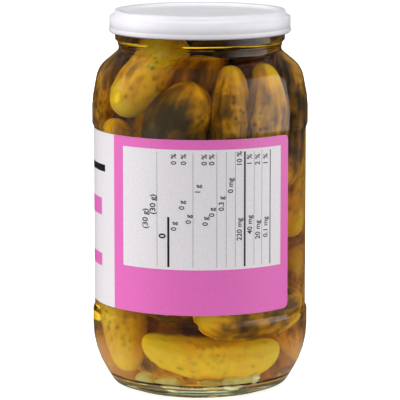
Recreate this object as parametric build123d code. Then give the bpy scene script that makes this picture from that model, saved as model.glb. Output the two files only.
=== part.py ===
"""A twist-off glass jar of whole gherkins in brine, with its lid and its wrap label.

Millimetres, +Z up.  The origin is the centre of the ring that the jar stands on, and the
front of the jar faces -Y.  Each piece is turned about the Z axis, so its outline is drawn
as (radius, height) on the XZ plane and revolved.
"""
import os

from build123d import *

# Glass: overall sizes
jar_height = 177.3           # standing ring to sealing rim
body_radius = 50.5           # outside of the body, above and below the label
neck_radius = 38.0           # outside of the neck
wall = 2.6                   # body, shoulder and neck

# Glass: base and heel, inwards from the body and up from the standing ring
base_thickness = 4.2
push_up = 1.8                # the base arches clear of the table by this much
push_up_ramp = 4.0           # width of the slope from the ring to the arched middle
ring_inner_inset = 22.5
ring_outer_inset = 16.85
heel_turn_inset = 9.6
heel_turn_height = 2.57
heel_height = 17.83
ring_blend = 4.5
heel_turn_blend = 3.2
heel_blend = 46.0
floor_blend = 5.0            # inside corner between the floor and the wall

# Glass: shoulder, down from the sealing rim
shoulder_drop = 41.74
shoulder_turn_drop = 26.42
shoulder_turn_inset = 2.87
neck_drop = 18.46
shoulder_blend = 47.0
shoulder_turn_blend = 12.4
neck_blend = 3.2

# Glass: finish, the ring under the lid that carries the sealing rim
finish_step = 1.6            # the finish stands out from the neck by this much
finish_drop = 14.7           # rim to the underside of the finish
finish_slope = 1.6           # height of the sloped underside
finish_wall = 2.5
mouth_drop = 13.2            # rim to the foot of the wider bore
mouth_slope = 2.0
rim_round = 0.8

# Label and the recess that guards it
label_base = 42.1            # standing ring to the label's lower edge
label_drop = 54.4            # rim to the label's upper edge
label_thickness = 0.12
label_corner = 3.0
label_right_edge = 54.35     # degrees from the front towards +X
label_gap = 60.0             # degrees of bare glass between the label's two ends
recess_depth = 0.8
recess_below = 4.0           # bare band under the label
recess_above = 0.1
recess_slope = 1.6

# Lid: pressed from tinplate
lid_thickness = 0.4
lid_skirt = 10.4             # top of the lid to the underside of its curl
lid_reach = 3.05             # lid's outside beyond the finish
lid_shoulder = 3.0           # rounded corner between the top and the skirt
panel_depth = 1.3            # centre panel below the outer ring
panel_clearance = 0.2        # between the panel's wall and the mouth
panel_round = 0.5
curl_radius = 0.85

# Contents
headspace = 3.0              # sealing rim to the brine

# Worked out
finish_radius = neck_radius + finish_step
mouth_radius = finish_radius - finish_wall
floor_height = push_up + base_thickness
recess_radius = body_radius - recess_depth
label_top = jar_height - label_drop
lid_top = jar_height + lid_thickness
lid_radius = finish_radius + lid_reach
panel_radius = mouth_radius - panel_clearance - lid_thickness


def turned(*edges):
    """Solid made by turning a closed outline of edges once about the Z axis."""
    return revolve(make_face(Plane.XZ * Curve(edges)), Axis.Z)


def ring(*corners):
    """Solid made by turning a straight-sided outline once about the Z axis."""
    return turned(*Polyline(*corners, close=True).edges())


def wall_line():
    """The glass's outside from the standing ring to the rim, before recess and finish."""
    shoulder_turn = body_radius - shoulder_turn_inset
    return FilletPolyline(
        (body_radius - ring_inner_inset, 0),
        (body_radius - ring_outer_inset, 0),
        (body_radius - heel_turn_inset, heel_turn_height),
        (body_radius, heel_height),
        (body_radius, jar_height - shoulder_drop),
        (shoulder_turn, jar_height - shoulder_turn_drop),
        (neck_radius, jar_height - neck_drop),
        (neck_radius, jar_height),
        radius=(ring_blend, heel_turn_blend, heel_blend,
                shoulder_blend, shoulder_turn_blend, neck_blend),
    )


def closed_to_axis(line):
    """The line's edges with straight ones that close it along the Z axis."""
    start, end = line @ 0, line @ 1
    back = Polyline(end, (0, end.Y), (0, start.Y), start)
    return [*line.edges(), *back.edges()]


def cavity():
    """The space inside the glass, from the floor to the rim."""
    inside = wall_line().offset_2d(wall, kind=Kind.INTERSECTION, side=Side.LEFT, closed=False)
    space = turned(*closed_to_axis(inside))
    space -= Cylinder(body_radius, floor_height, align=(Align.CENTER, Align.CENTER, Align.MIN))
    floor_edge = space.edges().filter_by(GeomType.CIRCLE).sort_by(Axis.Z)[0]
    space = fillet(floor_edge, floor_blend)
    mouth_foot = jar_height - mouth_drop
    return space + ring(
        (0, mouth_foot - mouth_slope),
        (neck_radius - wall, mouth_foot - mouth_slope),
        (mouth_radius, mouth_foot),
        (mouth_radius, jar_height),
        (0, jar_height),
    )


def label_recess():
    """Ring of glass left out around the label, with sloped ends."""
    low = label_base - recess_below
    high = label_top + recess_above
    return ring(
        (body_radius, low - recess_slope),
        (recess_radius, low),
        (recess_radius, high),
        (body_radius, high + recess_slope),
    )


def finish():
    """Ring that stands out of the neck under the lid."""
    underside = jar_height - finish_drop
    return ring(
        (neck_radius - wall / 2, underside),
        (neck_radius, underside),
        (finish_radius, underside + finish_slope),
        (finish_radius, jar_height),
        (neck_radius - wall / 2, jar_height),
    )


def jar_glass():
    """Glass body with its arched base, label recess, finish and rounded rim."""
    glass = turned(*closed_to_axis(wall_line()))
    arch_edge = body_radius - ring_inner_inset
    glass -= ring((0, 0), (arch_edge, 0), (arch_edge - push_up_ramp, push_up), (0, push_up))
    glass += finish()
    glass -= label_recess()
    glass -= cavity()
    rim_edges = glass.edges().filter_by(GeomType.CIRCLE).group_by(Axis.Z)[-1]
    return fillet(rim_edges, rim_round)


def brine():
    """Contents as one solid, filling the glass up to the headspace."""
    top = jar_height - headspace
    above = Cylinder(body_radius, headspace, align=(Align.CENTER, Align.CENTER, Align.MIN))
    return cavity() - Pos(0, 0, top) * above


def label():
    """Paper skin wrapped on the recess, round the back, with rounded corners."""
    sheet = Plane.XZ * Pos(recess_radius + label_thickness / 2, (label_base + label_top) / 2)
    strip = sheet * Rectangle(label_thickness, label_top - label_base)
    wrap = revolve(strip, Axis.Z, revolution_arc=360 - label_gap)
    ends = wrap.edges().filter_by(lambda edge: abs(edge.length - label_thickness) < 1e-4)
    wrap = fillet(ends, label_corner)
    first_end = label_right_edge + label_gap
    return Rot(0, 0, first_end - 90) * wrap


def lid():
    """Twist-off lid: recessed panel, raised ring, skirt and rolled lower edge."""
    panel_top = lid_top - panel_depth
    skirt_foot = lid_top - lid_skirt
    skirt_inside = lid_radius - lid_thickness
    outside = FilletPolyline(
        (0, panel_top),
        (panel_radius, panel_top),
        (panel_radius, lid_top),
        (lid_radius, lid_top),
        (lid_radius, skirt_foot + curl_radius),
        radius=(panel_round, panel_round, lid_shoulder),
    )
    inside = FilletPolyline(
        (skirt_inside, skirt_foot + curl_radius),
        (skirt_inside, lid_top - lid_thickness),
        (panel_radius + lid_thickness, lid_top - lid_thickness),
        (panel_radius + lid_thickness, panel_top - lid_thickness),
        (0, panel_top - lid_thickness),
        radius=(lid_shoulder - lid_thickness, panel_round / 2, panel_round),
    )
    foot = Line(outside @ 1, inside @ 0)
    axis = Line(inside @ 1, outside @ 0)
    shell = turned(*outside.edges(), foot, *inside.edges(), axis)
    curl_centre = Pos(0, 0, skirt_foot + curl_radius)
    return shell + curl_centre * Torus(lid_radius - curl_radius, curl_radius)


os.makedirs("parts", exist_ok=True)
export_step(jar_glass(), "parts/jar_glass.step")
export_step(brine(), "parts/brine.step")
export_step(label(), "parts/label.step")
export_step(lid(), "parts/lid.step")
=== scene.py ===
"""Looks of a glass jar of whole gherkins in brine, with a white twist-off lid and a paper label.

Metres, +Z up, the front of the label faces -Y.  Sizes below are in millimetres and turn into
metres in the mesh.  Round pieces are outlines turned about the jar's axis; the gherkins,
garlic and seeds are ovals shaped by formulas, and the gherkins are pushed off each other.
"""

import math

import bpy
import numpy as np
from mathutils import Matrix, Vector


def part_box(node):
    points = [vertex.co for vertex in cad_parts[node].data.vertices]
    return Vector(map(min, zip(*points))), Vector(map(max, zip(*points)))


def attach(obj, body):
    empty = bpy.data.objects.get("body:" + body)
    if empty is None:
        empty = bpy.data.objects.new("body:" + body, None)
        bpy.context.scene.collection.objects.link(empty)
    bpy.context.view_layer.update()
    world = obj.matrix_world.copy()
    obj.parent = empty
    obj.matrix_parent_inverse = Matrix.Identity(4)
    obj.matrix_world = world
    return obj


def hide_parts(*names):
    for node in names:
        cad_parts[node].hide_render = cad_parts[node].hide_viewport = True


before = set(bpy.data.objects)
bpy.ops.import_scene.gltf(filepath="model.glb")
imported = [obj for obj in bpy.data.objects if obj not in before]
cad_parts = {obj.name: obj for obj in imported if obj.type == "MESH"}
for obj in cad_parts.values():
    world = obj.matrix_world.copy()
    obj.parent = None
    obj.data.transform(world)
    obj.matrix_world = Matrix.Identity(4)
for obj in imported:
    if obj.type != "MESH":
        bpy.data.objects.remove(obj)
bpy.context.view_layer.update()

MM = 0.001
TURN = 2 * math.pi
rng = np.random.default_rng(20)


# ------------------------------------------------------------ sizes read from the frame

def node_box(node):
    """Lowest and highest corner of a node, as arrays in millimetres."""
    low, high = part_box(node)
    return np.array(low) / MM, np.array(high) / MM


glass_low, glass_high = node_box("jar_glass")
brine_low, brine_high = node_box("brine")
label_low, label_high = node_box("label")
lid_low, lid_high = node_box("lid")

BODY_R = glass_high[0]                     # outside of the glass body
RIM_Z = glass_high[2]                      # sealing rim
WALL = BODY_R - brine_high[0]
FLOOR_Z = brine_low[2]                     # inside floor of the glass
BRINE_Z = brine_high[2]                    # top of the brine
LABEL_R = label_high[1]                    # outside of the label
PAPER = 0.12                               # label thickness
LABEL_Z0, LABEL_Z1 = label_low[2], label_high[2]
LABEL_GAP = 60.0                           # degrees of bare glass between the label's ends
LABEL_RIGHT = 54.35                        # degrees from the front towards +X
LID_R = lid_high[0]
LID_Z0, LID_Z1 = lid_low[2], lid_high[2]

NECK_R = 38.0
FINISH_R = 39.6
MOUTH_R = 37.1
PUSH_UP = 1.8                              # the base arches clear of the table


# ------------------------------------------------------------------------ outlines

def rounded(corners, radii, arc_step=7.0, run_step=3.0):
    """Outline through (radius, height) corners, each inner corner an arc of its radius.

    Arcs are divided every few degrees and straight runs every few millimetres.
    """
    corners = [np.array(c, float) for c in corners]
    points = [corners[0]]
    for before, corner, after, radius in zip(corners, corners[1:], corners[2:], radii):
        to_before = (before - corner) / np.linalg.norm(before - corner)
        to_after = (after - corner) / np.linalg.norm(after - corner)
        opening = math.acos(np.clip(to_before @ to_after, -1, 1))
        reach = radius / math.tan(opening / 2)
        middle = (to_before + to_after) / np.linalg.norm(to_before + to_after)
        centre = corner + middle * radius / math.sin(opening / 2)
        start = corner + to_before * reach - centre
        turn = math.pi - opening
        side = np.sign(to_after[0] * start[1] - to_after[1] * start[0])
        angles = np.linspace(0, turn, max(2, int(math.degrees(turn) / arc_step) + 1)) * -side
        cos, sin = np.cos(angles), np.sin(angles)
        arc = np.stack([cos * start[0] - sin * start[1], sin * start[0] + cos * start[1]], 1)
        points.extend(centre + arc)
    points.append(corners[-1])
    points = np.array(points)
    runs = np.linalg.norm(np.diff(points, axis=0), axis=1)
    pieces = [
        a + (b - a) * np.linspace(0, 1, max(1, math.ceil(run / run_step)), endpoint=False)[:, None]
        for a, b, run in zip(points, points[1:], runs) if run > 1e-6
    ]
    return np.vstack([*pieces, points[-1:]])


def pushed(outline, distance):
    """The outline moved sideways, to the left of its direction, by the distance."""
    along = np.gradient(outline, axis=0)
    along /= np.linalg.norm(along, axis=1)[:, None]
    return outline + distance * np.stack([-along[:, 1], along[:, 0]], 1)


def glass_outside():
    """Glass from the arched middle of the base up to the rim's outer edge."""
    return rounded(
        [(0, PUSH_UP), (BODY_R - 26.5, PUSH_UP), (BODY_R - 22.5, 0), (BODY_R - 16.85, 0),
         (BODY_R - 9.6, 2.57), (BODY_R, 17.83), (BODY_R, LABEL_Z0 - 5.3),
         (LABEL_R - PAPER, LABEL_Z0 - 3.4), (LABEL_R - PAPER, LABEL_Z1 + 0.1),
         (BODY_R, LABEL_Z1 + 1.9), (BODY_R, RIM_Z - 41.74), (BODY_R - 2.87, RIM_Z - 26.42),
         (NECK_R, RIM_Z - 18.46), (NECK_R, RIM_Z - 16.2), (NECK_R + 0.45, RIM_Z - 15.6),
         (NECK_R + 0.1, RIM_Z - 14.9), (FINISH_R, RIM_Z - 13.3), (FINISH_R, RIM_Z),
         (MOUTH_R + 1.2, RIM_Z)],
        [3, 2, 4.5, 3.2, 40, 2, 1.5, 1.2, 1.2, 30, 12.4, 2.2, 0.3, 0.3, 0.3, 0.5, 0.8],
    )


def glass_inside():
    """Glass from the rim's inner edge down the mouth, neck and body to the middle of the floor."""
    inner = BODY_R - WALL
    return rounded(
        [(MOUTH_R + 1.2, RIM_Z), (MOUTH_R, RIM_Z), (MOUTH_R, RIM_Z - 13.2),
         (NECK_R - WALL, RIM_Z - 15.2), (NECK_R - WALL, RIM_Z - 19.68),
         (BODY_R - 5.25, RIM_Z - 27.8), (inner, RIM_Z - 41.98), (inner, 18.8),
         (BODY_R - 11.55, FLOOR_Z), (0, FLOOR_Z)],
        [0.8, 2.5, 1.5, 5.8, 9.8, 44.4, 43.4, 5],
    )


# ---------------------------------------------------------------------- mesh making

def piece(name, points, faces, material, smooth=True, uv=None, attributes=None):
    """A mesh object from arrays: points in millimetres, faces as rows of corner numbers.

    uv holds one pair for each point.  attributes maps a name to one number for each point.
    """
    mesh = bpy.data.meshes.new(name)
    faces = [np.asarray(f) for f in faces if len(f)]
    corners = np.concatenate([f.ravel() for f in faces]).astype(np.int32)
    sizes = np.concatenate([np.full(len(f), f.shape[1]) for f in faces]).astype(np.int32)
    mesh.vertices.add(len(points))
    mesh.vertices.foreach_set("co", (np.asarray(points) * MM).astype(np.float32).ravel())
    mesh.loops.add(len(corners))
    mesh.loops.foreach_set("vertex_index", corners)
    mesh.polygons.add(len(sizes))
    mesh.polygons.foreach_set("loop_start", np.cumsum(sizes, dtype=np.int32) - sizes)
    mesh.polygons.foreach_set("use_smooth", np.full(len(sizes), smooth))
    if uv is not None:
        layer = mesh.uv_layers.new(name="UVMap")
        layer.data.foreach_set("uv", np.asarray(uv, np.float32)[corners].ravel())
    for key, values in (attributes or {}).items():
        mesh.attributes.new(key, "FLOAT", "POINT").data.foreach_set("value", np.float32(values))
    mesh.update(calc_edges=True)
    mesh.validate()
    mesh.materials.append(material)
    obj = bpy.data.objects.new(name, mesh)
    bpy.context.scene.collection.objects.link(obj)
    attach(obj, "root")
    return obj


def grid_faces(rows, columns, wrap, offset=0):
    """Quads of a grid of points stored row by row; with wrap, the last column meets the first."""
    last = columns if wrap else columns - 1
    i, j = np.meshgrid(np.arange(rows - 1), np.arange(last), indexing="ij")
    i, j = i.ravel(), j.ravel()
    k = (j + 1) % columns
    quads = np.stack([i * columns + j, i * columns + k, (i + 1) * columns + k, (i + 1) * columns + j], 1)
    return quads + offset


def turned(outline, segments, relief=None):
    """Points and faces of an outline turned once about Z.

    The outline starts and ends on the axis, where its end rows shrink to a pole.  relief is a
    function of (angle, radius, height) that gives how far each point moves in (radius, height).
    """
    angle = np.arange(segments) / segments * TURN
    body = outline[1:-1]
    radius = np.repeat(body[:, :1], segments, 1)
    height = np.repeat(body[:, 1:], segments, 1)
    if relief is not None:
        out, up = relief(angle[None, :], radius, height)
        radius, height = radius + out, height + up
    grid = np.stack([radius * np.sin(angle), -radius * np.cos(angle), height], 2).reshape(-1, 3)
    poles = np.array([[0, 0, outline[0, 1]], [0, 0, outline[-1, 1]]])
    first, last = len(grid), len(grid) + 1
    here = np.arange(segments)
    there = (here + 1) % segments
    end_row = (len(body) - 1) * segments
    fans = np.concatenate([
        np.stack([np.full(segments, first), there, here], 1),
        np.stack([np.full(segments, last), end_row + here, end_row + there], 1),
    ])
    return np.vstack([grid, poles]), [grid_faces(len(body), segments, True), fans]


# ----------------------------------------------------------------------- materials

def linear(hex_colour):
    """An sRGB hex colour as linear red, green, blue and alpha."""
    values = [int(hex_colour[i:i + 2], 16) / 255 for i in (1, 3, 5)]
    return (*[v / 12.92 if v <= 0.04045 else ((v + 0.055) / 1.055) ** 2.4 for v in values], 1.0)


def material(name):
    """A new node material, its shader and its output, already joined."""
    made = bpy.data.materials.new(name)
    made.use_nodes = True
    return made, made.node_tree.nodes["Principled BSDF"], made.node_tree.nodes["Material Output"]


def node(made, kind, settings=None, **links):
    """Adds a node: settings are its properties, socket values and colour stops, links its inputs."""
    new = made.node_tree.nodes.new(kind)
    for key, value in (settings or {}).items():
        if key == "stops":
            elements = new.color_ramp.elements
            while len(elements) < len(value):
                elements.new(0.5)
            for element, (position, colour) in zip(elements, value):
                element.position = position
                element.color = linear(colour)
        elif isinstance(key, str) and hasattr(new, key):
            setattr(new, key, value)
        else:
            new.inputs[key].default_value = value
    for key, source in links.items():
        socket = new.inputs[int(key[1:]) if key[1:].isdigit() else key]
        made.node_tree.links.new(source, socket)
    return new


def wire(made, source, shader, socket):
    """Links a node's output to a socket of the shader or the output."""
    made.node_tree.links.new(source, shader.inputs[socket])


def set_values(shader, values):
    """Sets the shader's own sockets, for what is the same all over the surface."""
    for key, value in values.items():
        shader.inputs[key].default_value = value


WET_SHINE = 0.09                            # what glass still mirrors where brine touches it


def soda_lime_glass():
    """Container glass, blown in an iron mould: clear, faintly green where it is thick, with a
    slow ripple that bends what lies behind.  wet is 1 where brine wets it and dulls its shine."""
    made, shader, output = material("soda_lime_container_glass")
    set_values(shader, {"Base Color": (1, 1, 1, 1), "Roughness": 0.0, "IOR": 1.52,
                        "Transmission Weight": 1.0})
    wet = node(made, "ShaderNodeAttribute", {"attribute_name": "wet"}).outputs["Fac"]
    dulled = (WET_SHINE, WET_SHINE, WET_SHINE, 1)
    shine = node(made, "ShaderNodeMix", {"data_type": "RGBA", 6: (1, 1, 1, 1), 7: dulled}, _0=wet).outputs[2]
    wire(made, shine, shader, "Specular Tint")
    place = node(made, "ShaderNodeTexCoord").outputs["Object"]
    ripple = node(made, "ShaderNodeTexNoise", {"Scale": 1 / (14 * MM), "Detail": 1.5}, Vector=place)
    bump = node(made, "ShaderNodeBump", {"Strength": 0.25, "Distance": 0.35 * MM}, Height=ripple.outputs[0])
    wire(made, bump.outputs[0], shader, "Normal")
    tint = node(made, "ShaderNodeVolumeAbsorption", {"Color": linear("#cfdfae"), "Density": 18.0})
    wire(made, tint.outputs[0], output, "Volume")
    return made


def pickling_brine():
    """Vinegar brine stained by cucumber skins: clear, golden olive in depth.  It overlaps the
    wall, so its skin mirrors nothing of its own."""
    made, shader, output = material("pickling_brine")
    set_values(shader, {"Base Color": (1, 1, 1, 1), "Roughness": 0.0, "IOR": 1.345,
                        "Transmission Weight": 1.0, "Specular Tint": (0, 0, 0, 1)})
    tint = node(made, "ShaderNodeVolumeAbsorption", {"Color": (0.965, 0.88, 0.02, 1), "Density": 80.0})
    wire(made, tint.outputs[0], output, "Volume")
    return made


SKIN_CONTRAST = 1.0                         # how far streaks and blotches shift the tone
BLOTCH = 8 * MM
PORE = 3.0 * MM
GRAIN = 1.6 * MM
PORE_BROWN = linear("#523809")
WART_BROWN = linear("#5c430e")


def gherkin_skin():
    """Pickled cucumber skin: waxy yellow-olive, streaked lengthwise and brightest at the ends,
    with brown warts and pores.  tone is how yellow the skin is, wart is 1 on a wart's tip and
    pores is how thickly the pores are strewn."""
    made, shader, _ = material("pickled_gherkin_skin")
    place = node(made, "ShaderNodeTexCoord").outputs["Object"]
    uv = node(made, "ShaderNodeUVMap", {"uv_map": "UVMap"}).outputs[0]
    tone = node(made, "ShaderNodeAttribute", {"attribute_name": "tone"}).outputs["Fac"]
    wart = node(made, "ShaderNodeAttribute", {"attribute_name": "wart"}).outputs["Fac"]
    pores = node(made, "ShaderNodeAttribute", {"attribute_name": "pores"}).outputs["Fac"]
    along = node(made, "ShaderNodeMapping", {"Scale": (1.8, 9, 1)}, Vector=uv).outputs[0]
    streak = node(made, "ShaderNodeTexNoise", {"Scale": 1.5, "Detail": 3.0}, Vector=along).outputs[0]
    blotch = node(made, "ShaderNodeTexNoise", {"Scale": 1 / BLOTCH, "Detail": 3.0}, Vector=place).outputs[0]
    both = node(made, "ShaderNodeMath", {"operation": "ADD"}, _0=streak, _1=blotch).outputs[0]
    level = node(made, "ShaderNodeMath", {"operation": "MULTIPLY_ADD", 1: SKIN_CONTRAST}, _0=both, _2=tone)
    skin = node(made, "ShaderNodeValToRGB", {"stops": [
        (0.05, "#382404"), (0.28, "#855804"), (0.50, "#d59406"), (0.70, "#f5b808"), (1.0, "#f9d018")]},
        Fac=level.outputs[0]).outputs[0]
    cell = node(made, "ShaderNodeTexVoronoi", {"Scale": 1 / PORE, "Randomness": 0.9}, Vector=place)
    pit = node(made, "ShaderNodeMapRange", {1: 0.18, 2: 0.46, 3: 1.0, 4: 0.0}, _0=cell.outputs[0]).outputs[0]
    pit = node(made, "ShaderNodeMath", {"operation": "MULTIPLY"}, _0=pit, _1=pores).outputs[0]
    skin = node(made, "ShaderNodeMix", {"data_type": "RGBA", 7: PORE_BROWN}, _0=pit, _6=skin).outputs[2]
    spot = node(made, "ShaderNodeMath", {"operation": "MULTIPLY", 1: 0.7}, _0=wart).outputs[0]
    skin = node(made, "ShaderNodeMix", {"data_type": "RGBA", 7: WART_BROWN}, _0=spot, _6=skin).outputs[2]
    wire(made, skin, shader, "Base Color")
    grain = node(made, "ShaderNodeTexNoise", {"Scale": 1 / GRAIN, "Detail": 3.0}, Vector=place).outputs[0]
    relief = node(made, "ShaderNodeMath", {"operation": "SUBTRACT"}, _0=grain, _1=pit).outputs[0]
    bump = node(made, "ShaderNodeBump", {"Strength": 0.6, "Distance": 0.5 * MM}, Height=relief)
    wire(made, bump.outputs[0], shader, "Normal")
    set_values(shader, {"Roughness": 0.42, "Specular IOR Level": 0.25})
    return made


def garlic_flesh():
    """Peeled garlic and mustard seed, yellowed by the brine: matt, with faint veins."""
    made, shader, _ = material("pickled_garlic_and_seed")
    place = node(made, "ShaderNodeTexCoord").outputs["Object"]
    vein = node(made, "ShaderNodeTexNoise", {"Scale": 1 / (3 * MM), "Detail": 3.0}, Vector=place).outputs[0]
    flesh = node(made, "ShaderNodeValToRGB", {"stops": [(0.3, "#d8c24c"), (0.7, "#f6eec0")]}, Fac=vein)
    wire(made, flesh.outputs[0], shader, "Base Color")
    set_values(shader, {"Roughness": 0.5})
    return made


def lid_lacquer():
    """Tinplate with baked white lacquer: semi-gloss, with a faint orange peel and dulling."""
    made, shader, _ = material("white_lacquered_tinplate")
    place = node(made, "ShaderNodeTexCoord").outputs["Object"]
    peel = node(made, "ShaderNodeTexNoise", {"Scale": 1 / (1.1 * MM), "Detail": 2.0}, Vector=place).outputs[0]
    cloud = node(made, "ShaderNodeTexNoise", {"Scale": 1 / (18 * MM), "Detail": 2.0}, Vector=place).outputs[0]
    white = node(made, "ShaderNodeValToRGB", {"stops": [(0.3, "#e3e1e7"), (0.7, "#ebe9ee")]}, Fac=cloud)
    wire(made, white.outputs[0], shader, "Base Color")
    bump = node(made, "ShaderNodeBump", {"Strength": 0.12, "Distance": 0.05 * MM}, Height=peel)
    wire(made, bump.outputs[0], shader, "Normal")
    set_values(shader, {"Roughness": 0.34, "Coat Weight": 0.2, "Coat Roughness": 0.2})
    return made


FIBRE = 0.9 * MM                            # coarser than real fibres, so that they show


def coated_paper(name, light, dark, roughness=0.38):
    """Coated label paper, printed and varnished: even colour with a trace of paper fibre."""
    made, shader, _ = material(name)
    place = node(made, "ShaderNodeTexCoord").outputs["Object"]
    fibre = node(made, "ShaderNodeTexNoise", {"Scale": 1 / FIBRE, "Detail": 4.0}, Vector=place).outputs[0]
    tint = node(made, "ShaderNodeValToRGB", {"stops": [(0.3, dark), (0.7, light)]}, Fac=fibre)
    wire(made, tint.outputs[0], shader, "Base Color")
    bump = node(made, "ShaderNodeBump", {"Strength": 0.1, "Distance": 0.04 * MM}, Height=fibre)
    wire(made, bump.outputs[0], shader, "Normal")
    set_values(shader, {"Roughness": roughness, "Coat Weight": 0.25, "Coat Roughness": 0.25})
    return made


# ------------------------------------------------------------------------ the glass

KNURL_PITCH = 2.9                           # mm between knurls on the standing ring
KNURL_R = 31.0
KNURLS = round(TURN * KNURL_R / KNURL_PITCH)
KNURL_DEPTH = 0.35
KNURL_REACH = 2.2                           # how far the knurls run in and out from that radius
SEAM = math.radians(-26.3)                  # mould seam, and its twin half a turn away
SEAM_HEIGHT = 0.14
SEAM_WIDTH = 0.45
WAVE = 0.05                                 # each of two slow waves on the inside wall
SEGMENTS = 6 * KNURLS                       # so that each knurl has six columns
OUTER_ROWS = len(glass_outside()) - 2       # without its pole and the end shared with the inside


def glass_relief(angle, radius, height):
    """Knurls rise and fall as a cosine round the standing ring; two mould seams stand out of
    the outside as narrow bells; the inside wall wanders by a tenth of a millimetre as two sines
    of angle and height, which fade out over 10 mm at the heel and at the shoulder."""
    on_ring = np.exp(-((radius - KNURL_R) / KNURL_REACH) ** 4) * (height < 1.0)
    up = KNURL_DEPTH * (0.5 - 0.5 * np.cos(KNURLS * angle)) * on_ring
    outer = np.arange(len(radius))[:, None] < OUTER_ROWS
    from_seam = np.abs((angle - SEAM + TURN / 4) % (TURN / 2) - TURN / 4) * radius
    on_seam = outer & (height > 3) & (height < RIM_Z - 12)
    out = SEAM_HEIGHT * np.exp(-(from_seam / SEAM_WIDTH) ** 2) * on_seam
    from_heel = np.clip((height - FLOOR_Z - 10) / 10, 0, 1)
    from_shoulder = np.clip((RIM_Z - 18 - height) / 10, 0, 1)
    wave = np.sin(3 * angle + height / 17) + np.sin(5 * angle - height / 11 + 1)
    return out + WAVE * wave * (~outer * from_heel * from_shoulder), up


def make_glass():
    """The whole glass wall: outside and inside outlines joined at the rim and turned about Z."""
    outline = np.vstack([glass_outside()[:-1], glass_inside()])
    points, faces = turned(outline, SEGMENTS, glass_relief)
    inner = np.arange(len(points)) >= OUTER_ROWS * SEGMENTS
    wet = inner & (points[:, 2] < BRINE_Z) & (points[:, 2] >= FLOOR_Z)
    wet[-2] = False                         # the pole under the base, which is outside
    glass = piece("glass_wall", points, faces, soda_lime_glass(), attributes={"wet": wet})
    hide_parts("jar_glass")


OVERLAP = 0.25                              # the brine reaches this far into the wall


def make_brine():
    """Brine up to its level: the glass's inside outline, pushed a little into the wall so that
    no air gap shows, turned about Z."""
    inside = glass_inside()
    under = pushed(inside[inside[:, 1] < BRINE_Z][::-1], -OVERLAP)
    under[0] = (0, FLOOR_Z - OVERLAP)
    top_r = under[-1, 0]
    outline = np.vstack([under, [(top_r, BRINE_Z - 0.4), (top_r - 0.4, BRINE_Z), (0, BRINE_Z)]])
    points, faces = turned(outline, 180)
    made = piece("brine_fill", points, faces, pickling_brine())
    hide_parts("brine")


# --------------------------------------------------------------------- the gherkins

WARTS = 46                                  # on each gherkin
BLUNT, FULL = 2.6, 0.42                     # powers of the gherkins' oval
FINE, COARSE = (76, 68), (40, 32)           # rows and columns of those in front and behind


def gherkin(length, radius, bend, seed, rows, columns):
    """Points, uv, wart marks, ends and patches of one gherkin along Z about its own middle.

    Its radius follows a blunt oval, 1 - |t|^2.6 to the power 0.42, with three soft flats and
    ten faint ribs round it; its line is a parabola; each wart is a narrow bell on the skin.
    Ends rise as the cube of the way to the tip; patches are one slanting wave round the skin.
    """
    own = np.random.default_rng(seed)
    t = np.sin(np.linspace(-1, 1, rows) * math.pi / 2)[:, None] * 0.9995
    angle = (np.arange(columns) / columns * TURN)[None, :]
    waist = 1 + 0.05 * np.sin(2.4 * t + own.uniform(0, TURN)) + own.uniform(-0.08, 0.08) * t
    girth = radius * (1 - np.abs(t) ** BLUNT) ** FULL * waist
    ribs = 1 + 0.035 * np.cos(3 * angle + own.uniform(0, TURN)) + 0.012 * np.cos(10 * angle)
    swell = 0.02 * np.sin(7 * t + 2 * angle + own.uniform(0, TURN))
    r = girth * (ribs + swell)
    wart_t = own.uniform(-0.86, 0.86, WARTS)
    wart_a = own.uniform(0, TURN, WARTS)
    wart_size = own.uniform(0.9, 1.7, WARTS)
    along = (t[:, :, None] - wart_t) * length / 2
    round_ = ((angle[:, :, None] - wart_a + math.pi) % TURN - math.pi) * radius
    bells = np.exp(-(along ** 2 + round_ ** 2) / wart_size ** 2)
    lift = (bells * own.uniform(0.35, 0.85, WARTS)).sum(2)
    tips = np.clip(np.exp(-(along ** 2 + round_ ** 2) / (0.55 * wart_size) ** 2).sum(2), 0, 1)
    r = r + lift
    x = r * np.cos(angle) + bend * (t ** 2 - 0.33)
    y = r * np.sin(angle)
    z = np.broadcast_to(t * length / 2, r.shape)
    points = np.stack([x, y, z], 2).reshape(-1, 3)
    uv = np.stack(np.broadcast_arrays(t / 2 + 0.5, angle / TURN), 2).reshape(-1, 2)
    end = np.broadcast_to(np.abs(t) ** 3, r.shape)
    patch = 0.5 + 0.5 * np.sin(2 * angle + 3 * t + own.uniform(0, TURN)) * np.ones_like(t)
    return points, uv, tips.ravel(), end.ravel(), patch.ravel()


# Gherkins that show from in front, and one across the neck: x, y, z of the middle, tilt towards
# +X, tilt towards +Y, length, radius, tone, bend and roll of the bend
PLACED = [
    (-21, -22.5, 150.5, 17, 8, 46, 11.5, 0.70, 2, 0),
    (-16, -29, 117, 10, 2, 62, 14.5, 0.03, -3, 0),
    (13.5, -35.5, 123, 2, 8, 60, 8.8, 0.24, 0, 0),
    (27, -26, 123, 0, 8, 58, 10.0, 0.44, 1, 0),
    (-12, -11, 134, 24, 4, 54, 11.0, 0.36, 2, 90),
    (-34, -22, 104, -2, 2, 54, 10.5, 0.36, 1, 0),
    (-38, 2, 134, 8, 8, 50, 9.5, 0.28, 1, 0),
    (39, -6, 126, -6, 6, 60, 9.5, 0.20, 2, 0),
    (5, -30.5, 24, 84, 95, 61, 9.5, 0.90, 5, 0),
    (20, -23, 39, 58, 67, 58, 11.5, 0.33, 2, 0),
    (-33, -17, 40, -12, 6, 54, 11.5, 0.70, 1, 0),
    (-14, -26, 45, 70, 100, 50, 10.0, 0.18, 2, 90),
    (4, 4, 160, 86, 95, 50, 10.0, 0.08, 1, 0),
]
FILLERS = 21
BACK_START, BACK_SPAN = 100, 160            # degrees round the back that most fillers share
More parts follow.
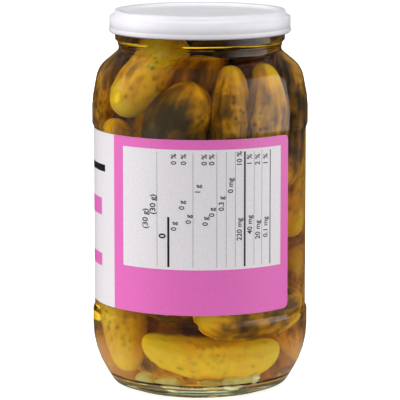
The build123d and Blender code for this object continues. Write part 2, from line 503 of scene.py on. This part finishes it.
SPREAD, CORE_SPREAD = 0.618, 0.37           # part of a turn from one filler to the next


def filler_gherkins():
    """Gherkins that the label or the others mostly hide, low to high: two of three stand round
    the back and the third near the axis, each a set part of a turn on from the one before."""
    found = []
    for k in range(FILLERS):
        core = k % 3 == 0
        degrees = 360 * ((k * CORE_SPREAD) % 1) if core else BACK_START + BACK_SPAN * ((k * SPREAD) % 1)
        around = math.radians(degrees)
        reach = 8 if core else 27
        height = 30 + 115 * (k + 0.5) / FILLERS
        found.append((
            reach * math.sin(around), -reach * math.cos(around), height,
            rng.uniform(-50, 50) if height < 60 else rng.uniform(-16, 16), rng.uniform(-18, 18),
            rng.uniform(50, 64), rng.uniform(10.5, 13.0), rng.uniform(0.25, 0.7),
            rng.uniform(-3, 3), rng.uniform(0, 360),
        ))
    return found


BALLS = np.linspace(-0.78, 0.78, 5)          # where a gherkin's five balls sit along its line


def settle(middles, ways, lengths, radii, fixed, rounds=160):
    """Pushes the gherkins off each other and back inside the glass, as far as they give way.

    Each one counts as five balls along its line; overlaps move its middle and turn its line.
    fixed gherkins yield a twentieth as much as the others.  Packed ones keep an overlap of
    one to three millimetres, where real ones are pressed flat against each other.
    """
    inside = glass_inside()[::-1]
    body = inside[inside[:, 0] > 30]        # the wall, without the middle of the floor
    ball_r = radii[:, None] * (1 - np.abs(BALLS) ** BLUNT) ** FULL
    yields = np.where(fixed, 0.05, 1.0)[:, None]
    count = len(radii)
    for _ in range(rounds):
        offsets = BALLS[None, :, None] * (lengths / 2)[:, None, None] * ways[:, None, :]
        balls = middles[:, None, :] + offsets
        flat = balls.reshape(-1, 3)
        r = ball_r.ravel()
        gap = flat[:, None] - flat[None]
        distance = np.linalg.norm(gap, axis=2) + 1e-9
        overlap = r[:, None] + r[None] - distance
        owner = np.repeat(np.arange(count), len(BALLS))
        overlap[owner[:, None] == owner[None]] = 0
        push = (np.clip(overlap, 0, None) / distance)[:, :, None] * gap * 0.35
        move = push.sum(1)
        reach = np.hypot(flat[:, 0], flat[:, 1])
        limit = np.interp(flat[:, 2], body[:, 1], body[:, 0]) - r - 0.5
        out = np.clip(reach - limit, 0, None)
        move[:, :2] -= flat[:, :2] / (reach[:, None] + 1e-9) * out[:, None] * 0.8
        move[:, 2] += np.clip(FLOOR_Z + 0.5 + r - flat[:, 2], 0, None)
        move[:, 2] -= np.clip(flat[:, 2] + r + 4 - BRINE_Z, 0, None)
        move = move.reshape(count, len(BALLS), 3)
        middles = middles + move.mean(1) * yields
        turn = (move * BALLS[None, :, None]).sum(1) / (lengths[:, None] / 2) * yields
        ways = ways + turn
        ways /= np.linalg.norm(ways, axis=1)[:, None]
    return middles, ways


def oriented(points, way, roll):
    """Points turned so that their Z lies along way, after a roll about it."""
    side = np.cross(way, (0.13, 0.97, 0.2))
    side /= np.linalg.norm(side)
    third = np.cross(way, side)
    first = math.cos(roll) * side + math.sin(roll) * third
    second = np.cross(way, first)
    return points @ np.stack([first, second, way])


def make_gherkins():
    """All gherkins as one piece.  tone is each one's own, higher towards the ends and in a
    patch; pores thin out towards the ends and on yellow ones."""
    rows = PLACED + filler_gherkins()
    table = np.array(rows, float)
    tilt = np.radians(table[:, 3:5])
    ways = np.stack([np.sin(tilt[:, 0]), np.cos(tilt[:, 0]) * np.sin(tilt[:, 1]),
                     np.cos(tilt[:, 0]) * np.cos(tilt[:, 1])], 1)
    lengths, radii, tones, bends, rolls = table[:, 5:].T
    fixed = np.arange(len(rows)) < len(PLACED)
    middles, ways = settle(table[:, :3], ways, lengths, radii, fixed)
    points, quads, caps, uvs, warts, tone, pores, start = [], [], {}, [], [], [], [], 0
    for k in range(len(rows)):
        long, round_ = FINE if fixed[k] else COARSE
        shape, uv, wart, end, patch = gherkin(lengths[k], radii[k], bends[k], 100 + k, long, round_)
        points.append(oriented(shape, ways[k], math.radians(rolls[k])) + middles[k])
        quads.append(grid_faces(long, round_, True, start))
        ring = start + np.arange(round_)
        caps.setdefault(round_, []).extend([ring[::-1], ring + (long - 1) * round_])
        uvs.append(uv)
        warts.append(wart)
        tone.append(tones[k] + 0.50 * end + 0.22 * (patch - 0.5) - SKIN_CONTRAST)
        pores.append((1 - end) ** 2 * patch * (1.15 - tones[k]))
        start += len(shape)
    faces = [np.vstack(quads)] + [np.stack(found) for found in caps.values()]
    marks = {"wart": np.concatenate(warts), "tone": np.concatenate(tone), "pores": np.concatenate(pores)}
    piece("gherkins", np.vstack(points), faces, gherkin_skin(),
          uv=np.vstack(uvs), attributes=marks)


# ------------------------------------------------------------------- garlic and seeds

# Garlic cloves: x, y, z of the middle and size
CLOVES = [(14, -33, 9.5, 4.6), (4, -34, 8.5, 3.6), (21, -29, 11.5, 4.2), (-14, -33, 9, 3.6),
          (-24, -25, 10, 4.0), (2, 33, 10, 4.4), (-18, 28, 11, 4.2), (30, 16, 12, 4.0)]
SEEDS = 46
OVAL_ROWS, OVAL_COLUMNS = 14, 18


def oval(size, stretch, pinch):
    """Points of an oval along Z: its radius is the root of 1 - t^2, pinched towards one end."""
    t = np.linspace(-1, 1, OVAL_ROWS)[:, None]
    angle = (np.arange(OVAL_COLUMNS) / OVAL_COLUMNS * TURN)[None, :]
    girth = size * np.sqrt(np.clip(1 - (0.999 * t) ** 2, 0, 1)) * (1 - pinch * t)
    height = np.broadcast_to(t * size * stretch, (OVAL_ROWS, OVAL_COLUMNS))
    return np.stack([girth * np.cos(angle), 0.8 * girth * np.sin(angle), height], 2).reshape(-1, 3)


def make_garlic_and_seeds():
    """Garlic cloves as pinched ovals near the floor, and mustard seeds as small balls."""
    found = []
    for x, y, z, size in CLOVES:
        way = rng.normal(size=3) * (1, 1, 0.3)
        roll = rng.uniform(0, TURN)
        found.append(oriented(oval(size, 1.7, 0.35), way / np.linalg.norm(way), roll) + np.array((x, y, z)))
    for _ in range(SEEDS):
        around, reach = rng.uniform(0, TURN), rng.uniform(30, 37)
        way = rng.normal(size=3)
        size = rng.uniform(0.7, 1.2)
        height = FLOOR_Z + 1 + rng.uniform(0, 3)
        place = np.array((reach * math.cos(around), reach * math.sin(around), height))
        roll = rng.uniform(0, TURN)
        found.append(oriented(oval(size, 1.1, 0.0), way / np.linalg.norm(way), roll) + place)
    starts = np.arange(len(found))[:, None, None] * OVAL_ROWS * OVAL_COLUMNS
    quads = (grid_faces(OVAL_ROWS, OVAL_COLUMNS, True)[None] + starts).reshape(-1, 4)
    ring = np.arange(OVAL_COLUMNS)
    caps = np.stack([ring + (OVAL_ROWS - 1) * OVAL_COLUMNS, ring[::-1]])
    caps = (caps[None] + starts).reshape(-1, OVAL_COLUMNS)
    piece("garlic_and_seeds", np.vstack(found), [quads, caps], garlic_flesh())


# -------------------------------------------------------------------------- the label

def label_patch(angle0, angle1, z0, z1, radius, corner=0.0, left=1.0):
    """Points and quads of a field on the label: a rectangle in (angle, height), its corners
    rounded by narrowing each row near the top and bottom edge as a circle does.  With left
    set to 0 the left side stays square."""
    columns = max(2, int(abs(angle1 - angle0) / 1.5) + 2)
    if corner > 0:
        quarter = np.linspace(0, math.pi / 2, 9)
        in_top, in_bottom = corner * (1 - np.sin(quarter)), corner * (1 - np.cos(quarter))
        rows = np.concatenate([z0 + in_bottom, z1 - in_top])
        inset = np.concatenate([in_top, in_bottom])
    else:
        rows = np.linspace(z0, z1, max(2, int((z1 - z0) / 4) + 2))
        inset = np.zeros(len(rows))
    margin = np.degrees(inset / radius)[:, None]
    u = np.linspace(0, 1, columns)[None, :]
    angle = np.radians(angle0 + left * margin + (angle1 - angle0 - (1 + left) * margin) * u)
    height = np.repeat(rows[:, None], columns, 1)
    points = np.stack([radius * np.sin(angle), -radius * np.cos(angle), height], 2).reshape(-1, 3)
    return points, grid_faces(len(rows), columns, False)


def fields(name, rows, radius, made, corner=0.0, left=1.0):
    """Several printed fields as one piece; rows are (angle0, angle1, z0, z1) in degrees and mm."""
    points, quads, start = [], [], 0
    for row in rows:
        p, q = label_patch(*row, radius, corner, left)
        points.append(p)
        quads.append(q + start)
        start += len(p)
    piece(name, np.vstack(points), [np.vstack(quads)], made)


# Fields are (angle from, angle to, lowest z, highest z) in degrees and millimetres
LABEL_LEFT = LABEL_RIGHT - (360 - LABEL_GAP)
LABEL_CORNER = 3.0
BLEED = 0.04                                # the pink field ends this short of the paper's edge
PINK_PANEL = (-52.4, LABEL_RIGHT - BLEED, LABEL_Z0 + BLEED, LABEL_Z1 - BLEED)
TABLE = (-44.9, 47.8, 63.2, 118.4)
RULE_Z0, RULE_Z1 = TABLE[2] + 1.2, TABLE[3] - 1.2
THIN_RULES = [(a - 0.11, a + 0.11, RULE_Z0, RULE_Z1) for a in (-23.1, -3.65, 8.8, 13.8, 18.8, 29.6, 34.4)]
THICK_RULES = [(-17.4, -16.2, RULE_Z0, 87.5), (23.6, 24.6, RULE_Z0, RULE_Z1), (39.7, 40.25, RULE_Z0, RULE_Z1)]
FRONT_BAR = [(LABEL_LEFT + 30, -61.5, 104.6, 107.8)]
FRONT_BANDS = [(LABEL_LEFT + 30, -66.0, 60.0, 66.0), (LABEL_LEFT + 30, -66.0, 84.0, 92.0)]

# Each printed layer stands a trace prouder than the one under it
PAPER_R = LABEL_R - 0.04
PINK_R = LABEL_R - 0.02
RULES_R = LABEL_R + 0.012
FIGURES_R = LABEL_R + 0.018


def make_label():
    """Paper skin with printed fields: white front panel, pink end panel and its white table."""
    paper = coated_paper("coated_white_paper", "#e6e1e4", "#dcd8dc")
    pink = coated_paper("pink_ink_on_paper", "#e46dbc", "#dd66b5")
    black = coated_paper("black_ink_on_paper", "#1c1b1e", "#151417", 0.45)
    grey = coated_paper("grey_ink_on_paper", "#77747a", "#6c6a70", 0.45)
    points, quads = label_patch(LABEL_LEFT, LABEL_RIGHT, LABEL_Z0, LABEL_Z1, PAPER_R, LABEL_CORNER)
    sheet = piece("label_paper", points, [quads], paper)
    wall = sheet.modifiers.new("thickness", "SOLIDIFY")
    wall.thickness = (PAPER - 0.05) * MM
    wall.offset = -1
    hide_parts("label")
    fields("label_pink_panel", [PINK_PANEL], PINK_R, pink, LABEL_CORNER, 0.0)
    fields("label_white_table", [TABLE], LABEL_R, paper)
    fields("label_thin_rules", THIN_RULES, RULES_R, grey)
    fields("label_thick_rules", THICK_RULES, RULES_R, black)
    fields("label_front_bar", FRONT_BAR, LABEL_R, black)
    fields("label_front_bands", FRONT_BANDS, LABEL_R, pink)
    make_numbers(black)


FIGURE_SIZE = 1.75                          # font size for a figure of height 1
BOLDER, PLAIN = 0.055, 0.03                 # how far strokes are fattened, for height 1

# Numbers in the table: (text, angle of the column in degrees, lowest z, height of the figures, bold)
NUMBERS = [
    ("(30 g)", -29.9, 81.4, 2.3, False), ("(30 g)", -25.4, 88.2, 2.3, False), ("0", -19.9, 77.5, 2.6, True),
    ("0 %", -13.7, 111.5, 2.0, False), ("0 g", -13.7, 81.2, 2.0, False), ("0 %", -8.4, 111.5, 2.0, False),
    ("0 g", -9.4, 91.0, 2.0, False), ("0 g", -5.9, 84.6, 2.0, False), ("1 g", -1.0, 98.4, 2.0, False),
    ("0 %", 2.4, 111.4, 2.0, False), ("0 g", 2.9, 83.7, 2.0, False), ("0 %", 6.3, 111.4, 2.0, False),
    ("0 g", 6.3, 87.8, 2.0, False), ("0.3 g", 11.4, 90.4, 2.0, False), ("0 mg", 16.3, 98.5, 2.0, False),
    ("10 %", 21.2, 110.6, 2.0, False), ("220 mg", 21.2, 76.4, 2.0, False), ("1 %", 26.9, 110.8, 2.0, False),
    ("40 mg", 27.2, 79.1, 2.0, False), ("2 %", 31.8, 110.6, 2.0, False), ("20 mg", 32.0, 76.4, 2.0, False),
    ("1 %", 36.9, 110.4, 2.0, False), ("0.1 mg", 37.0, 76.9, 2.0, False),
]


def make_numbers(ink):
    """Figures set upwards along the jar: text made a mesh, then wrapped on the label's skin.

    A figure's own x runs up the jar and its y runs round the jar, towards the left.
    """
    points, faces_by_size, start = [], {}, 0
    for text, angle, low, height, bold in NUMBERS:
        curve = bpy.data.curves.new("figures", "FONT")
        curve.body = text
        curve.size = height * FIGURE_SIZE
        curve.resolution_u = 3
        curve.offset = height * (BOLDER if bold else PLAIN)
        holder = bpy.data.objects.new("figures", curve)
        bpy.context.scene.collection.objects.link(holder)
        bpy.context.view_layer.update()
        mesh = bpy.data.meshes.new_from_object(holder)
        bpy.data.objects.remove(holder)
        flat = np.zeros(len(mesh.vertices) * 3)
        mesh.vertices.foreach_get("co", flat)
        flat = flat.reshape(-1, 3)
        turn = math.radians(angle) - (flat[:, 1] - height / 2) / FIGURES_R
        points.append(np.stack([FIGURES_R * np.sin(turn), -FIGURES_R * np.cos(turn), low + flat[:, 0]], 1))
        for polygon in mesh.polygons:
            corners = [start + v for v in polygon.vertices]
            faces_by_size.setdefault(len(corners), []).append(corners)
        start += len(flat)
        bpy.data.meshes.remove(mesh)
    faces = [np.array(f) for f in faces_by_size.values()]
    piece("label_numbers", np.vstack(points), faces, ink, smooth=False)


# ---------------------------------------------------------------------------- the lid

PANEL_FLAT_R = 36.0                         # the panel bows inside this radius
PANEL_BOW = 0.12


def lid_relief(angle, radius, height):
    """The panel bows down a trace between its edge and its middle, as a half wave of the radius."""
    inward = np.clip(1 - radius / PANEL_FLAT_R, 0, 1)
    return 0.0, -PANEL_BOW * np.sin(math.pi * inward)


def make_lid():
    """Recessed panel with one pressed step, raised ring, rounded shoulder, skirt and curl, as
    one outline of sheet metal, turned about Z."""
    panel = LID_Z1 - 1.3
    wall_r = 36.5
    skin = 0.4
    curl = 0.85
    outline = rounded(
        [(0, panel + 0.25), (27.5, panel + 0.25), (28.4, panel), (wall_r, panel), (wall_r, LID_Z1),
         (LID_R, LID_Z1), (LID_R, LID_Z0), (LID_R - 2 * curl, LID_Z0), (LID_R - 2 * curl, LID_Z0 + 2 * curl),
         (LID_R - skin, LID_Z0 + 2 * curl), (LID_R - skin, LID_Z1 - skin), (wall_r + skin, LID_Z1 - skin),
         (wall_r + skin, panel - skin), (0, panel - skin)],
        [0.5, 0.5, 0.5, 0.5, 3.0, 0.84, 0.84, 0.4, 0.1, 2.6, 0.1, 0.5],
        arc_step=10,
    )
    points, faces = turned(outline[::-1], 256, lid_relief)
    lid = piece("lid_shell", points, faces, lid_lacquer())
    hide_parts("lid")


# --------------------------------------------------------------- floor, light, camera

EYE_GREY = (0.6, 0.6, 0.6, 1)               # the floor's own colour to the eye
FLOOR_ON_OUTSIDE = 0.6                      # light that the floor throws up at the jar's outside
FLOOR_INTO_GLASS = 1.8                      # and in through the glass
HALF_FLOOR = 6.0


def make_floor():
    """A wide pale studio floor that glows softly: even white to the eye, fading with distance
    for the jar, more for what shines in through the glass and nothing for mirrored rays."""
    mesh = bpy.data.meshes.new("studio_floor")
    corners = np.array([(-1, -1, 0), (1, -1, 0), (1, 1, 0), (-1, 1, 0)]) * HALF_FLOOR
    mesh.from_pydata(corners.tolist(), [], [(0, 1, 2, 3)])
    floor = bpy.data.objects.new("studio_floor", mesh)
    bpy.context.scene.collection.objects.link(floor)
    made, shader, _ = material("pale_floor")
    place = node(made, "ShaderNodeTexCoord").outputs["Object"]
    path = node(made, "ShaderNodeLightPath").outputs
    seen = path["Is Camera Ray"]
    reach = node(made, "ShaderNodeVectorMath", {"operation": "LENGTH"}, _0=place).outputs["Value"]
    dim = node(made, "ShaderNodeMapRange", {1: 0.08, 2: 0.14, 3: 0.3, 4: 0.03}, _0=reach).outputs[0]
    pale = node(made, "ShaderNodeMix", {"data_type": "RGBA", 7: EYE_GREY}, _0=seen, _6=dim).outputs[2]
    wire(made, pale, shader, "Base Color")
    to_eye = node(made, "ShaderNodeMapRange", {1: 0.15, 2: 0.9, 3: 0.80, 4: 1.05}, _0=reach).outputs[0]
    near = node(made, "ShaderNodeMapRange", {1: 0.15, 2: 1.2, 3: 1.0, 4: 0.1}, _0=reach).outputs[0]
    level = node(made, "ShaderNodeMix", {2: FLOOR_ON_OUTSIDE, 3: FLOOR_INTO_GLASS},
                 _0=path["Is Transmission Ray"]).outputs[0]
    to_jar = node(made, "ShaderNodeMath", {"operation": "MULTIPLY"}, _0=near, _1=level).outputs[0]
    mirror = node(made, "ShaderNodeMath", {"operation": "MULTIPLY"}, _0=path["Is Glossy Ray"],
                  _1=path["Is Reflection Ray"]).outputs[0]
    matt = node(made, "ShaderNodeMath", {"operation": "SUBTRACT", 0: 1.0}, _1=mirror).outputs[0]
    unseen = node(made, "ShaderNodeMath", {"operation": "MULTIPLY"}, _0=matt, _1=to_jar).outputs[0]
    glow = node(made, "ShaderNodeMix", {}, _0=seen, _2=unseen, _3=to_eye).outputs[0]
    wire(made, glow, shader, "Emission Strength")
    set_values(shader, {"Roughness": 0.6, "Specular IOR Level": 0.0, "Emission Color": (1, 1, 1, 1)})
    mesh.materials.append(made)


def softbox(name, place, target, width, height, glow, fade=None, mirrored=True):
    """A rectangular area lamp that faces the target: its power is glow times pi times its area.

    With fade, its light rises across its width from one part to the other, 0 being an edge.
    One that isn't mirrored lights the jar but isn't seen in its gloss, as through a polariser.
    """
    lamp = bpy.data.lights.new(name, "AREA")
    lamp.shape = "RECTANGLE"
    lamp.size, lamp.size_y = width, height
    lamp.energy = glow * math.pi * width * height
    if fade:
        lamp.use_nodes = True
        across = node(lamp, "ShaderNodeNewGeometry").outputs["Parametric"]
        across = node(lamp, "ShaderNodeSeparateXYZ", _0=across).outputs[0]
        ends = {1: fade[0], 2: fade[1], 3: 0.0, 4: 1.0}
        level = node(lamp, "ShaderNodeMapRange", ends, _0=across).outputs[0]
        wire(lamp, level, lamp.node_tree.nodes["Emission"], "Strength")
    holder = bpy.data.objects.new(name, lamp)
    holder.visible_camera = False
    holder.visible_glossy = mirrored
    holder.location = place
    holder.rotation_euler = (Vector(target) - Vector(place)).to_track_quat("-Z", "Y").to_euler()
    bpy.context.scene.collection.objects.link(holder)


ROOM_TO_EYE = 1.1
ROOM_ON_OUTSIDE = 0.04                      # what the room throws at the jar's outside
ROOM_INTO_GLASS = 0.8                       # what it throws in through the glass


def make_lights():
    """A room that is white to the eye and shines in through the glass, a softbox above, one to
    the right that shows in the gloss, a backdrop, and fill lamps left, front and right."""
    world = bpy.data.worlds.new("studio_surround")
    world.use_nodes = True
    bpy.context.scene.world = world
    path = node(world, "ShaderNodeLightPath").outputs
    inside = node(world, "ShaderNodeMix", {2: ROOM_ON_OUTSIDE, 3: ROOM_INTO_GLASS},
                  _0=path["Is Transmission Ray"]).outputs[0]
    strength = node(world, "ShaderNodeMix", {3: ROOM_TO_EYE}, _0=path["Is Camera Ray"], _2=inside).outputs[0]
    background = world.node_tree.nodes["Background"]
    wire(world, strength, background, "Strength")
    set_values(background, {"Color": (1, 1, 1, 1)})
    middle = (0, 0, 0.09)
    softbox("softbox_top", (0, 0, 1.1), middle, 1.8, 1.8, 1.55, mirrored=False)
    softbox("softbox_right", (0.52, -0.19, 0.28), (0, 0, 0.28), 0.83, 0.56, 1.5, (0.0, 0.5))
    softbox("backdrop", (0, 1.5, 0.75), (0, 0, 0.75), 2.6, 1.4, 0.5, mirrored=False)
    softbox("fill_left", (-0.88, -0.16, 0.30), middle, 1.0, 0.9, 3.5, mirrored=False)
    softbox("fill_front", (-0.2, -1.3, 0.60), middle, 1.2, 1.0, 0.9, mirrored=False)
    softbox("fill_right", (0.95, -0.60, 0.40), middle, 0.8, 0.8, 1.2, mirrored=False)


def make_camera():
    """A long lens in front of the jar, looking down a little."""
    lens = bpy.data.cameras.new("front")
    lens.sensor_width = 36
    lens.lens = 241.4
    camera = bpy.data.objects.new("front", lens)
    camera.location = (0, -1.2474, 0.2893)
    target = Vector((0, 0, 0.0876))
    camera.rotation_euler = (target - camera.location).to_track_quat("-Z", "Y").to_euler()
    bpy.context.scene.collection.objects.link(camera)
    bpy.context.scene.camera = camera
    bpy.context.scene.view_settings.view_transform = "Standard"
    bpy.context.scene.cycles.max_bounces = 20
    bpy.context.scene.cycles.transmission_bounces = 18
    bpy.context.scene.cycles.diffuse_bounces = 5
    bpy.context.scene.cycles.glossy_bounces = 5


make_glass()
make_brine()
make_gherkins()
make_garlic_and_seeds()
make_label()
make_lid()
make_floor()
make_lights()
make_camera()
